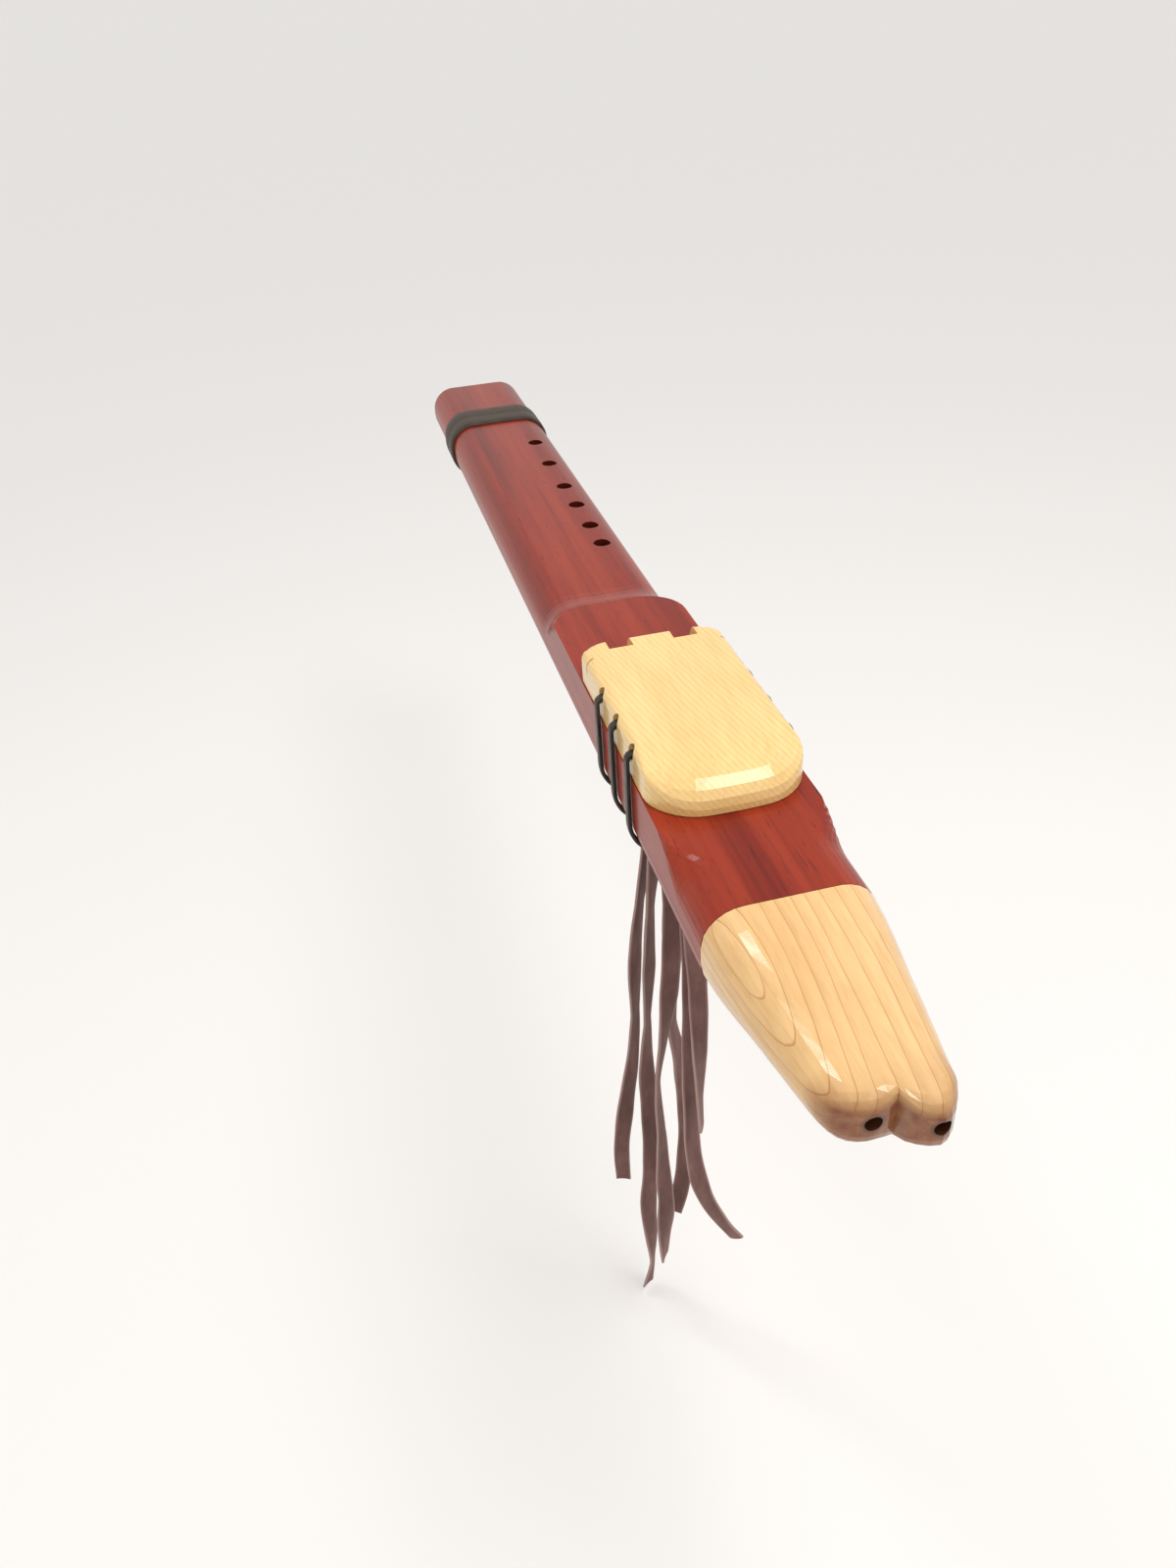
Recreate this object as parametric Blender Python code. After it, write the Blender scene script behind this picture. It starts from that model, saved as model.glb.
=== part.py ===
"""Double duct flute: a melody chamber and a drone chamber side by side in one wooden body.

Metres, +Z up. The flute lies along Y with its mouth end at -Y and its foot at +Y, and the
finger holes are at +X. The origin is on the flat underside, where the front cradle of a stand
bears, below the rear edge of the block.
"""
import math

import bmesh
import bpy
import numpy as np

# Clearances
FACE_GAP = 0.0003
LACE_GAP = 0.0004

# Body of red wood, made as two glued halves
BODY_WIDTH = 0.062
BARREL_HEIGHT = 0.032
NEST_HEIGHT = 0.0355
BODY_CORNER = 0.0145
SEAM_HEIGHT = 0.016
FOOT_LENGTH = 0.452
HEAD_LENGTH = 0.1513

# Raised seat for the block, with its rounded rear corners and the cove down to the barrel
NEST_REAR = 0.0735
NEST_PLAN_RADIUS = 0.019
COVE_LENGTH = 0.0195
SHOULDER_START = 0.104
SHOULDER_LENGTH = 0.026

# Chambers
CHAMBER_X = 0.0148
BORE_DIAMETER = 0.022
PLUG_FRONT = 0.020
PLUG_REAR = 0.001

# Flues, slow air exits and sound holes
FLUE_X = 0.0140
FLUE_WIDTH = 0.0095
FLUE_DEPTH = 0.0009
SLOW_EXIT_LENGTH = 0.006
SOUND_HOLE_LENGTH = 0.0055
SPLITTING_RAMP_LENGTH = 0.0095

# Finger holes, each by its distance from the origin
FINGER_HOLE_X = 0.0155
FINGER_HOLE_DIAMETER = 0.009
FINGER_HOLE_STATIONS = (0.148, 0.173, 0.204, 0.234, 0.274, 0.314)

# Mouthpiece, whose two lips are half ellipses in plan that start at one line and meet in a notch
TAPER_LENGTH = 0.0680
TAPER_END_HALF_WIDTH = 0.0218
TAPER_POWER = 1.25
LIP_NOTCH_DEPTH = 0.0104
DRONE_LIP_REACH = 0.0122
MELODY_LIP_REACH = 0.0192
MOUTH_TOP = 0.0290
MOUTH_BOTTOM = 0.0085
LIP_EDGE_RADIUS = 0.0060
NOTCH_EDGE_RADIUS = 0.0030
BLOW_HOLE_DIAMETER = 0.0055
BLOW_HOLE_HEIGHT = 0.0195

# Block
BLOCK_HALF_WIDTH = 0.0305
BLOCK_HEIGHT = 0.0155
BLOCK_FRONT = 0.1028
BLOCK_REAR = 0.0125
BLOCK_FRONT_RADIUS = 0.019
BLOCK_FRONT_CROWN = 0.0026
BLOCK_REAR_RADIUS = 0.008
BLOCK_SIDE_ROUND = 0.0045
BLOCK_FRONT_ROUND = 0.024
BLOCK_FRONT_ROUND_HEIGHT = 0.0125
BLOCK_REAR_ROUND = 0.0060
BLOCK_REAR_ROUND_HEIGHT = 0.0105
NOTCH_WIDTH = 0.0105
EAR_SLOT_WIDTH = 0.0012
EAR_SLOT_DEPTH = 0.0030
EAR_SLOT_STATION = 0.004

# Laces through the block and round the body
LACE_WIDTH = 0.0040
LACE_THICKNESS = 0.0018
LACE_BEND = 0.0025
LACE_STATIONS = (-0.027, -0.048, -0.070)
TUNNEL_WIDTH = 0.0058
TUNNEL_HEIGHT = 0.0064
TUNNEL_FLOOR = 0.0080

# Knots and hanging ends
KNOT_X = -0.010
KNOT_LENGTH = 0.011
KNOT_BREADTH = 0.0095
KNOT_DEPTH = 0.0065
THONG_WIDTH = 0.0085
THONG_THICKNESS = 0.0014

# Leather wrap at the foot
BAND_STATION = 0.376
BAND_WIDTH = 0.030
BAND_THICKNESS = 0.0015
BAND_JOINT_GAP = 0.0006

# Travel of the block each way when it is tuned
BLOCK_TRAVEL = 0.003

# Fineness of the faceted solids
ROUND_SIDES = 32
HOLE_SIDES = 24
CORNER_STEPS = 8
SMOOTH_ANGLE = math.radians(32)

HALF_WIDTH = BODY_WIDTH / 2
BORE_RADIUS = BORE_DIAMETER / 2


def clear_scene():
    for item in list(bpy.data.objects):
        bpy.data.objects.remove(item, do_unlink=True)


def material(name, colour, roughness, metallic=0.0):
    made = bpy.data.materials.new(name)
    made.use_nodes = True
    shader = made.node_tree.nodes["Principled BSDF"]
    shader.inputs["Base Color"].default_value = (*colour, 1.0)
    shader.inputs["Roughness"].default_value = roughness
    shader.inputs["Metallic"].default_value = metallic
    return made


def smoothstep(value):
    value = min(max(value, 0.0), 1.0)
    return value * value * (3 - 2 * value)


def add_object(name, data, finish=None, location=(0, 0, 0), parent=None):
    made = bpy.data.objects.new(name, data)
    bpy.context.scene.collection.objects.link(made)
    if finish is not None:
        data.materials.append(finish)
    made.location = location
    made.parent = parent
    return made


def mesh_from(name, points, faces, smooth=True):
    """A mesh whose faces are turned to point outwards."""
    mesh = bpy.data.meshes.new(name)
    mesh.from_pydata([tuple(point) for point in points], [], faces)
    shape = bmesh.new()
    shape.from_mesh(mesh)
    bmesh.ops.recalc_face_normals(shape, faces=shape.faces)
    shape.to_mesh(mesh)
    shape.free()
    if smooth:
        mesh.shade_smooth()
        mesh.set_sharp_from_angle(angle=SMOOTH_ANGLE)
    return mesh


def join_solids(solids):
    """Points and faces of several closed shapes as one list each."""
    points = []
    faces = []
    for solid_points, solid_faces in solids:
        start = len(points)
        points.extend(solid_points)
        faces.extend([[start + index for index in face] for face in solid_faces])
    return points, faces


def box(low, high):
    corners = [(x, y, z) for z in (low[2], high[2]) for y in (low[1], high[1]) for x in (low[0], high[0])]
    faces = [[0, 2, 3, 1], [4, 5, 7, 6], [0, 1, 5, 4], [2, 6, 7, 3], [0, 4, 6, 2], [1, 3, 7, 5]]
    return corners, faces


def prism(outline, axis, low, high):
    """A flat outline drawn out along one axis, 0 for X, 1 for Y and 2 for Z."""
    points = []
    for level in (low, high):
        for first, second in outline:
            point = [first, second]
            point.insert(axis, level)
            points.append(tuple(point))
    count = len(outline)
    faces = [list(range(count)), list(range(2 * count - 1, count - 1, -1))]
    for index in range(count):
        after = (index + 1) % count
        faces.append([index, index + count, after + count, after])
    return points, faces


def circle(centre, radius, sides):
    angles = [2 * math.pi * index / sides for index in range(sides)]
    return [(centre[0] + radius * math.cos(a), centre[1] + radius * math.sin(a)) for a in angles]


def add_cutter(name, solids, target, parent=None):
    """A hidden shape that is cut out of the target."""
    points, faces = join_solids(solids)
    cutter = add_object(name, mesh_from(name, points, faces, smooth=False), parent=parent)
    cutter.hide_render = True
    cutter.display_type = "WIRE"
    cut = target.modifiers.new(name, "BOOLEAN")
    cut.operation = "DIFFERENCE"
    cut.solver = "EXACT"
    cut.object = cutter
    return cutter


def resample(points, count):
    """The same polyline with its points at even steps along it."""
    line = np.array(points)
    steps = np.hypot(*np.diff(line, axis=0).T)
    along = np.concatenate([[0.0], np.cumsum(steps)])
    wanted = np.linspace(0.0, along[-1], count)
    return list(zip(np.interp(wanted, along, line[:, 0]), np.interp(wanted, along, line[:, 1])))


def arc(centre, radius, start, end, steps):
    """Points on an arc, with its angles in degrees."""
    angles = [math.radians(start + (end - start) * index / steps) for index in range(steps + 1)]
    return [(centre[0] + radius * math.cos(a), centre[1] + radius * math.sin(a)) for a in angles]


def barrel_height(x):
    """Height of the barrel's rounded top at one distance from its middle."""
    across = abs(x) - (HALF_WIDTH - BODY_CORNER)
    if across <= 0:
        return BARREL_HEIGHT
    return BARREL_HEIGHT - BODY_CORNER + math.sqrt(max(BODY_CORNER ** 2 - across ** 2, 0.0))


def beyond_nest(x, y):
    """How far a point lies outside the seat's edge in plan, negative inside."""
    flat = HALF_WIDTH - NEST_PLAN_RADIUS
    start = NEST_REAR - NEST_PLAN_RADIUS
    if y <= start:
        return abs(x) - HALF_WIDTH
    if abs(x) <= flat:
        return y - NEST_REAR
    return math.hypot(abs(x) - flat, y - start) - NEST_PLAN_RADIUS


def body_height(x, y):
    """Height of the body's top behind the shoulder: the seat, its cove or the barrel."""
    beyond = beyond_nest(x, y)
    if beyond <= 0:
        return NEST_HEIGHT
    low = barrel_height(x)
    if beyond >= COVE_LENGTH:
        return low
    return low + (NEST_HEIGHT - low) * (1 - beyond / COVE_LENGTH) ** 2


def shoulder_corner(y):
    """Corner radius in front of the block, where the crisp edge fades into a round one."""
    return BODY_CORNER * smoothstep((-y - SHOULDER_START) / SHOULDER_LENGTH)


def plateau_half_width(y):
    """Half width of the flat top at one station."""
    start = NEST_REAR - NEST_PLAN_RADIUS
    if y <= -SHOULDER_START:
        return HALF_WIDTH - shoulder_corner(y)
    if y <= start:
        return HALF_WIDTH
    narrow = HALF_WIDTH - NEST_PLAN_RADIUS
    if y <= NEST_REAR:
        return narrow + math.sqrt(max(NEST_PLAN_RADIUS ** 2 - (y - start) ** 2, 0.0))
    share = min((y - NEST_REAR) / COVE_LENGTH, 1.0)
    return narrow + (HALF_WIDTH - BODY_CORNER - narrow) * share


def outer_profile(y, foot):
    """Line from the edge of the flat top, over the corner and down the side to the seam."""
    inner = plateau_half_width(y)
    line = []
    for index in range(33):
        x = inner + (HALF_WIDTH - inner) * math.sin(math.pi / 2 * index / 32)
        if y < -SHOULDER_START:
            radius = max(shoulder_corner(y), 1e-9)
            z = NEST_HEIGHT - radius + math.sqrt(max(radius ** 2 - (x - inner) ** 2, 0.0))
        else:
            z = body_height(x, y)
        line.append((x, z))
    line.append((HALF_WIDTH, foot))
    return line


def body_section(y, foot, inner_steps, outer_steps):
    """Upper outline of the body at one station, from the left seam to the right seam."""
    side = resample(outer_profile(y, foot), outer_steps + 1)
    inner = plateau_half_width(y)
    middle = []
    for index in range(1, inner_steps):
        x = inner * (2 * index / inner_steps - 1)
        z = NEST_HEIGHT if y < -SHOULDER_START else body_height(x, y)
        middle.append((x, z))
    left = [(-x, z) for x, z in reversed(side)]
    return left + middle + side


def body_stations():
    front = [-HEAD_LENGTH + FACE_GAP / 2]
    for index in range(9):
        front.append(-SHOULDER_START - SHOULDER_LENGTH * (8 - index) / 8)
    start = NEST_REAR - NEST_PLAN_RADIUS
    corner = [start + NEST_PLAN_RADIUS * math.sin(math.pi / 2 * index / 8) for index in range(9)]
    cove = [NEST_REAR + COVE_LENGTH * share for share in (0.1, 0.22, 0.36, 0.54, 0.75, 1.0)]
    return front + corner + cove + [FOOT_LENGTH]


def loft(sections):
    """Closed solid through sections with equal counts of points, capped at both ends."""
    points = [point for section in sections for point in section]
    count = len(sections[0])
    faces = [list(range(count)), list(range(len(points) - 1, len(points) - count - 1, -1))]
    for row in range(len(sections) - 1):
        for index in range(count):
            after = (index + 1) % count
            low = row * count
            high = low + count
            faces.append([low + index, high + index, high + after, low + after])
    return points, faces


def chamber_solids():
    """Both slow air chambers and both sound chambers, as rods to cut away."""
    over = 0.01
    solids = []
    for side in (-1, 1):
        ring = circle((side * CHAMBER_X, SEAM_HEIGHT), BORE_RADIUS, ROUND_SIDES)
        solids.append(prism(ring, 1, -HEAD_LENGTH - over, -PLUG_FRONT))
        solids.append(prism(ring, 1, PLUG_REAR, FOOT_LENGTH + over))
    return solids


def air_way_solids():
    """Finger holes, sound holes and slow air exits, which go down into the chambers."""
    top = NEST_HEIGHT + 0.005
    half = FLUE_WIDTH / 2
    solids = []
    for station in FINGER_HOLE_STATIONS:
        ring = circle((FINGER_HOLE_X, station), FINGER_HOLE_DIAMETER / 2, HOLE_SIDES)
        solids.append(prism(ring, 2, SEAM_HEIGHT + BORE_RADIUS / 2, top))
    for side in (-1, 1):
        middle = side * FLUE_X
        low = SEAM_HEIGHT + BORE_RADIUS / 2
        for start, length in ((PLUG_REAR, SOUND_HOLE_LENGTH), (-PLUG_FRONT - SLOW_EXIT_LENGTH, SLOW_EXIT_LENGTH)):
            solids.append(box((middle - half, start, low), (middle + half, start + length, top)))
    return solids


def flue_solids():
    """The shallow flues from each slow air exit, and the ramp behind each sound hole."""
    top = NEST_HEIGHT + 0.002
    floor = NEST_HEIGHT - FLUE_DEPTH
    start = -PLUG_FRONT - SLOW_EXIT_LENGTH / 2
    edge = PLUG_REAR + SOUND_HOLE_LENGTH
    slope = [(edge - SOUND_HOLE_LENGTH / 2, floor), (edge, floor),
             (edge + SPLITTING_RAMP_LENGTH, NEST_HEIGHT + 0.00002),
             (edge + SPLITTING_RAMP_LENGTH, top), (edge - SOUND_HOLE_LENGTH / 2, top)]
    solids = []
    for side in (-1, 1):
        low = side * FLUE_X - FLUE_WIDTH / 2
        high = side * FLUE_X + FLUE_WIDTH / 2
        solids.append(box((low, start, floor), (high, PLUG_REAR + SOUND_HOLE_LENGTH / 4, top)))
        solids.append(prism(slope, 0, low, high))
    return solids


def make_body_top(finish):
    foot = SEAM_HEIGHT + FACE_GAP / 2
    sections = []
    for y in body_stations():
        outline = body_section(y, foot, CORNER_STEPS, CORNER_STEPS + 2)
        sections.append([(x, y, z) for x, z in outline])
    points, faces = loft(sections)
    made = add_object("body_top", mesh_from("body_top", points, faces), finish)
    add_cutter("top_chambers_cut", chamber_solids(), made)
    add_cutter("top_holes_cut", air_way_solids(), made)
    add_cutter("top_flues_cut", flue_solids(), made)
    return made


def make_body_bottom(finish):
    corner = HALF_WIDTH - BODY_CORNER
    top = SEAM_HEIGHT - FACE_GAP / 2
    outline = [(-HALF_WIDTH, top)]
    outline += arc((-corner, BODY_CORNER), BODY_CORNER, 180, 270, CORNER_STEPS)
    outline += arc((corner, BODY_CORNER), BODY_CORNER, 270, 360, CORNER_STEPS)
    outline.append((HALF_WIDTH, top))
    points, faces = prism(outline, 1, -HEAD_LENGTH + FACE_GAP / 2, FOOT_LENGTH)
    made = add_object("body_bottom", mesh_from("body_bottom", points, faces), finish)
    add_cutter("bottom_chambers_cut", chamber_solids(), made)
    return made


def lip_shape(reach):
    """Middle and half width of a lip whose ellipse passes through the notch."""
    ratio = math.sqrt(1 - (LIP_NOTCH_DEPTH / reach) ** 2)
    half = TAPER_END_HALF_WIDTH / (1 + ratio)
    return half * ratio, half


def lip_outline(steps):
    """Plan of the two lips from the left side over the notch to the right side."""
    line = []
    slope = (HALF_WIDTH - TAPER_END_HALF_WIDTH) * TAPER_POWER / TAPER_LENGTH
    for side, reach in ((-1, DRONE_LIP_REACH), (1, MELODY_LIP_REACH)):
        middle, half = lip_shape(reach)
        last = math.pi - math.asin(LIP_NOTCH_DEPTH / reach)
        part = []
        for index in range(steps + 1):
            angle = last * index / steps
            beyond = reach * math.sin(angle)
            out = half * math.cos(angle)
            if out > 0:
                out *= 1 - slope * beyond / half
            x = 0.0 if index == steps else side * (middle + out)
            part.append((x, -HEAD_LENGTH - TAPER_LENGTH - beyond))
        line += part if side < 0 else part[-2::-1]
    return line


def mouth_side(y):
    """Half width of the mouthpiece at one station before the lips."""
    share = min(max((-HEAD_LENGTH - y) / TAPER_LENGTH, 0.0), 1.0)
    return HALF_WIDTH - (HALF_WIDTH - TAPER_END_HALF_WIDTH) * share ** TAPER_POWER


def mouth_heights(y):
    """Lowest and highest level of the mouthpiece at one station."""
    share = smoothstep((-HEAD_LENGTH - y) / (TAPER_LENGTH + LIP_NOTCH_DEPTH))
    low = MOUTH_BOTTOM * share
    high = NEST_HEIGHT + (MOUTH_TOP - NEST_HEIGHT) * share
    return low, high


def edge_radius(x, y):
    """Rounding of the mouthpiece's edge at one point of its outline."""
    low, high = mouth_heights(y)
    side = min(BODY_CORNER, (high - low) / 2 - 0.0002)
    beyond = (-y - HEAD_LENGTH - TAPER_LENGTH) / LIP_NOTCH_DEPTH
    front = side + (LIP_EDGE_RADIUS - side) * smoothstep(beyond)
    near_notch = smoothstep(1 - abs(x) / LIP_EDGE_RADIUS) if beyond > 0 else 0.0
    return front + (NOTCH_EDGE_RADIUS - front) * near_notch


def make_mouthpiece(finish):
    steps = 10
    rows = 14
    start = -HEAD_LENGTH - FACE_GAP / 2
    ends = lip_outline(steps)
    side_line = []
    for index in range(40):
        y = start + BODY_CORNER - (TAPER_LENGTH + BODY_CORNER) * index / 40
        side_line.append((mouth_side(y), y))
    edge = [(-x, y) for x, y in side_line] + lip_outline(3 * steps) + side_line[::-1]
    radii = np.array([edge_radius(x, y) for x, y in edge])[:-1]
    edge = np.array(edge)
    first = edge[:-1]
    run = edge[1:] - first
    run_squared = np.maximum((run ** 2).sum(axis=1), 1e-18)

    def edge_drop(x, y):
        """How far the rounded edge lies below the flat top at one point."""
        offset = np.array([x, y]) - first
        share = np.clip((offset * run).sum(axis=1) / run_squared, 0.0, 1.0)
        away = np.hypot(*(offset - share[:, None] * run).T)
        inside = 1 - np.minimum(away / radii, 1.0)
        return float((radii * (1 - np.sqrt(np.maximum(1 - inside ** 2, 0.0)))).max())

    top = []
    bottom = []
    for row in range(rows + 1):
        share = 1 - (1 - row / rows) ** 1.9
        for end_x, end_y in ends:
            y = start + (end_y - start) * share
            x = end_x * mouth_side(max(y, -HEAD_LENGTH - TAPER_LENGTH)) / TAPER_END_HALF_WIDTH
            low, high = mouth_heights(y)
            drop = min(edge_drop(x, y), (high - low) / 2 - 0.0001)
            top.append((x, y, high - drop))
            bottom.append((x, y, low + drop))
    width = len(ends)
    count = len(top)
    points = top + bottom
    faces = []
    for row in range(rows):
        for column in range(width - 1):
            a = row * width + column
            b = a + width
            faces.append([a, a + 1, b + 1, b])
            faces.append([count + a, count + b, count + b + 1, count + a + 1])
    rim = [row * width for row in range(rows + 1)]
    rim += [rows * width + column for column in range(1, width)]
    rim += [row * width + width - 1 for row in range(rows - 1, -1, -1)]
    for here, after in zip(rim, rim[1:]):
        faces.append([here, after, count + after, count + here])
    faces.append(list(range(width)) + [count + column for column in range(width - 1, -1, -1)])
    made = add_object("mouthpiece", mesh_from("mouthpiece", points, faces), finish)
    bores = []
    for side, reach in ((-1, DRONE_LIP_REACH), (1, MELODY_LIP_REACH)):
        middle = lip_shape(reach)[0]
        ring = circle((side * middle, BLOW_HOLE_HEIGHT), BLOW_HOLE_DIAMETER / 2, HOLE_SIDES)
        tip = -HEAD_LENGTH - TAPER_LENGTH - reach
        bores.append(prism(ring, 1, tip - 0.01, -HEAD_LENGTH + 0.01))
    add_cutter("blow_holes_cut", bores, made)
    return made


def block_outline(half_width, front, rear, front_radius, rear_radius, crown):
    """Plan of the block with rounded corners and a gently bowed front."""
    steps = CORNER_STEPS
    line = []
    line += arc((half_width - rear_radius, rear - rear_radius), rear_radius, 0, 90, steps // 2)
    for index in range(1, steps):
        line.append(((half_width - rear_radius) * (1 - 2 * index / steps), rear))
    line += arc((-half_width + rear_radius, rear - rear_radius), rear_radius, 90, 180, steps // 2)
    line += arc((-half_width + front_radius, -front + front_radius), front_radius, 180, 270, steps)
    for index in range(1, steps):
        line.append(((half_width - front_radius) * (2 * index / steps - 1), -front))
    line += arc((half_width - front_radius, -front + front_radius), front_radius, 270, 360, steps)
    bowed = []
    for x, y in line:
        depth = max((-y - front + front_radius) / front_radius, 0.0)
        bowed.append((x, y + crown * depth * (x / half_width) ** 2))
    return bowed


def make_block(finish, parent):
    outer = block_outline(BLOCK_HALF_WIDTH, BLOCK_FRONT, BLOCK_REAR,
                          BLOCK_FRONT_RADIUS, BLOCK_REAR_RADIUS, BLOCK_FRONT_CROWN)
    inner = block_outline(BLOCK_HALF_WIDTH - BLOCK_SIDE_ROUND, BLOCK_FRONT - BLOCK_FRONT_ROUND,
                          BLOCK_REAR - BLOCK_REAR_ROUND, BLOCK_FRONT_RADIUS, BLOCK_REAR_RADIUS,
                          BLOCK_FRONT_CROWN)
    front_zone = -BLOCK_FRONT + BLOCK_FRONT_RADIUS
    rear_zone = BLOCK_REAR - BLOCK_REAR_RADIUS
    drops = []
    for x, y in outer:
        drop = BLOCK_SIDE_ROUND
        if y < front_zone:
            share = smoothstep((front_zone - y) / BLOCK_FRONT_RADIUS)
            drop += (BLOCK_FRONT_ROUND_HEIGHT - BLOCK_SIDE_ROUND) * share
        if y > rear_zone:
            share = smoothstep((y - rear_zone) / BLOCK_REAR_RADIUS)
            drop += (BLOCK_REAR_ROUND_HEIGHT - BLOCK_SIDE_ROUND) * share
        drops.append(drop)
    floor = NEST_HEIGHT + FACE_GAP
    top = NEST_HEIGHT + BLOCK_HEIGHT
    rings = [[(x, y, floor) for x, y in outer]]
    for step in range(7):
        angle = math.pi / 2 * step / 6
        ring = []
        for (x, y), (ix, iy), drop in zip(outer, inner, drops):
            share = 1 - math.cos(angle)
            ring.append((x + (ix - x) * share, y + (iy - y) * share, top - drop * (1 - math.sin(angle))))
        rings.append(ring)
    points, faces = loft(rings)
    made = add_object("block", mesh_from("block", points, faces), finish, parent=parent)
    tunnels = []
    radius = TUNNEL_WIDTH / 2
    low = NEST_HEIGHT + TUNNEL_FLOOR + radius
    high = NEST_HEIGHT + TUNNEL_FLOOR + TUNNEL_HEIGHT - radius
    for station in LACE_STATIONS:
        slot = arc((station, high), radius, 0, 180, 8) + arc((station, low), radius, 180, 360, 8)
        tunnels.append(prism(slot, 0, -HALF_WIDTH - 0.01, HALF_WIDTH + 0.01))
    add_cutter("tunnels_cut", tunnels, made, parent)
    notches = []
    for side in (-1, 1):
        low_x = side * FLUE_X - NOTCH_WIDTH / 2
        high_x = side * FLUE_X + NOTCH_WIDTH / 2
        notches.append(box((low_x, PLUG_REAR, NEST_HEIGHT - 0.001), (high_x, BLOCK_REAR + 0.01, top + 0.01)))
        outside = side * (BLOCK_HALF_WIDTH + 0.002)
        inside = side * (BLOCK_HALF_WIDTH - EAR_SLOT_DEPTH)
        middle = -EAR_SLOT_STATION
        notches.append(box((min(outside, inside), middle - EAR_SLOT_WIDTH / 2, NEST_HEIGHT + TUNNEL_FLOOR),
                           (max(outside, inside), middle + EAR_SLOT_WIDTH / 2, top + 0.01)))
    add_cutter("notches_cut", notches, made, parent)
    return made


def lace_level():
    """Height of a lace's middle where both its edges bear on the round floor of the tunnel."""
    radius = TUNNEL_WIDTH / 2
    across = LACE_WIDTH / 2 + LACE_GAP
    lift = radius - math.sqrt(radius ** 2 - across ** 2)
    return NEST_HEIGHT + TUNNEL_FLOOR + lift + LACE_THICKNESS / 2


def lace_path():
    """Middle line of a lace seen from the mouth end, from one side of the knot to the other."""
    off = LACE_GAP + LACE_THICKNESS / 2
    corner = HALF_WIDTH - BODY_CORNER
    side = HALF_WIDTH + off
    level = lace_level()
    reach = KNOT_LENGTH / 2 + FACE_GAP
    line = [(KNOT_X - reach, -off)]
    line += arc((-corner, BODY_CORNER), BODY_CORNER + off, 270, 180, CORNER_STEPS)
    line += arc((-side + LACE_BEND, level - LACE_BEND), LACE_BEND, 180, 90, 5)
    line += arc((side - LACE_BEND, level - LACE_BEND), LACE_BEND, 90, 0, 5)
    line += arc((corner, BODY_CORNER), BODY_CORNER + off, 0, -90, CORNER_STEPS)
    line.append((KNOT_X + reach, -off))
    return line


def strap_outline(line, thickness):
    """Both edges of a flat strap whose middle line is given."""
    points = np.array(line)
    before = np.vstack([points[0] - (points[1] - points[0]), points[:-1]])
    after = np.vstack([points[1:], points[-1] + (points[-1] - points[-2])])
    into = points - before
    out = after - points
    into /= np.hypot(*into.T)[:, None]
    out /= np.hypot(*out.T)[:, None]
    normal = np.stack([-(into + out)[:, 1], (into + out)[:, 0]], axis=1)
    normal /= np.hypot(*normal.T)[:, None]
    widen = 1 / np.maximum((normal * np.stack([-into[:, 1], into[:, 0]], axis=1)).sum(axis=1), 0.5)
    shift = normal * (widen * thickness / 2)[:, None]
    return [tuple(p) for p in points + shift] + [tuple(p) for p in (points - shift)[::-1]]


def make_lace(number, station, finish, parent):
    outline = strap_outline(lace_path(), LACE_THICKNESS)
    half = LACE_WIDTH / 2
    points, faces = prism(outline, 1, -half, half)
    name = f"lace_{number}"
    return add_object(name, mesh_from(name, points, faces), finish, (0, station, 0), parent)


def make_knot(number, station, finish, parent):
    """A flattened bead with a waist, where the lace's two ends cross and pull tight."""
    sides = 14
    rings = []
    for step in range(1, 8):
        angle = math.pi * step / 8
        waist = 1 - 0.16 * math.exp(-((step - 4) / 1.1) ** 2)
        ring = []
        for index in range(sides):
            turn = 2 * math.pi * index / sides
            x = -math.cos(angle) * KNOT_LENGTH / 2
            y = math.sin(angle) * waist * KNOT_BREADTH / 2 * math.cos(turn)
            z = math.sin(angle) * waist * KNOT_DEPTH / 2 * math.sin(turn)
            ring.append((x, y, z))
        rings.append(ring)
    points, faces = loft(rings)
    name = f"knot_{number}"
    level = -FACE_GAP - KNOT_DEPTH / 2
    return add_object(name, mesh_from(name, points, faces), finish, (KNOT_X, station, level), parent)


def smooth_route(route, count):
    """Points at even steps on a smooth curve through the route's own points."""
    nodes = np.array(route, dtype=float)
    chord = np.linalg.norm(np.diff(nodes, axis=0), axis=1) ** 0.5
    knots = np.concatenate([[0.0], np.cumsum(chord)])
    slopes = np.gradient(nodes, knots, axis=0)
    fine = []
    for index in range(len(nodes) - 1):
        width = knots[index + 1] - knots[index]
        for step in range(40):
            t = step / 40
            h00 = 2 * t ** 3 - 3 * t ** 2 + 1
            h10 = t ** 3 - 2 * t ** 2 + t
            h01 = -2 * t ** 3 + 3 * t ** 2
            h11 = t ** 3 - t ** 2
            fine.append(h00 * nodes[index] + h10 * width * slopes[index]
                        + h01 * nodes[index + 1] + h11 * width * slopes[index + 1])
    fine.append(nodes[-1])
    fine = np.array(fine)
    steps = np.linalg.norm(np.diff(fine, axis=0), axis=1)
    along = np.concatenate([[0.0], np.cumsum(steps)])
    wanted = np.linspace(0.0, along[-1], count)
    points = np.stack([np.interp(wanted, along, fine[:, axis]) for axis in range(3)], axis=1)
    return points, along[-1]


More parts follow.
